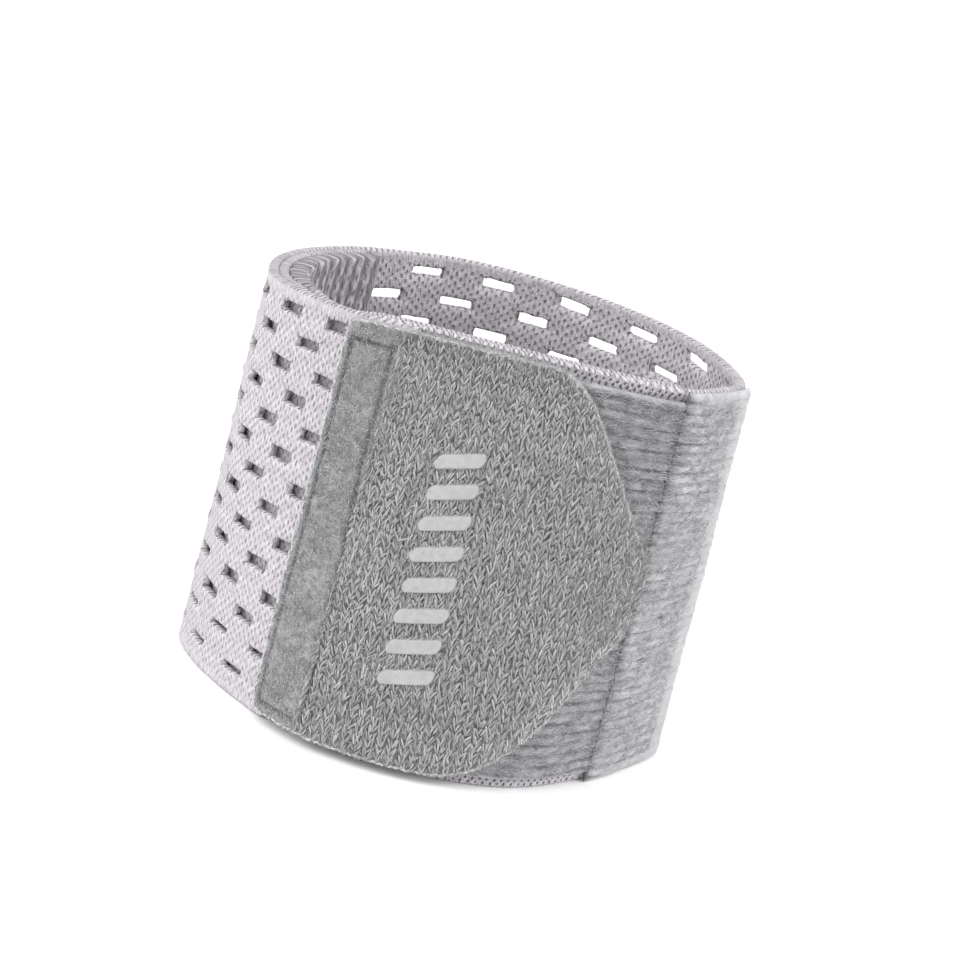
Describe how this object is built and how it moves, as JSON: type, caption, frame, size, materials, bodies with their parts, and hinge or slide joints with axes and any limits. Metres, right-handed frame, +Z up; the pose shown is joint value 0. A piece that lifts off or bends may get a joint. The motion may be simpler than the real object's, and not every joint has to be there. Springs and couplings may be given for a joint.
{
  "type": "wrist support",
  "caption": "Elastic wrist support: a perforated band wrapped into an open loop, doubled inside, with grey pile panels and a pointed pull tab that fastens it.",
  "frame": {"origin": "under the middle of the footprint, on the plane that the lower rim stands on", "axes": "+X along the loop's longest side, towards the seam; -Y towards the closure tab; +Z up, across the band"},
  "size_m": [0.0946, 0.085, 0.075],
  "materials": {
    "elastic": "matt knitted elastic",
    "pile": "brushed pile",
    "tab_knit": "fuzzy knit",
    "hook": "matt"
  },
  "bodies": {
    "root": {"wrap_band": "elastic", "folded_band": "elastic", "loop_panel": "pile", "end_panel": "pile", "closure_tab": "tab_knit", "hook_patch": "hook"}
  },
  "joints": []
}
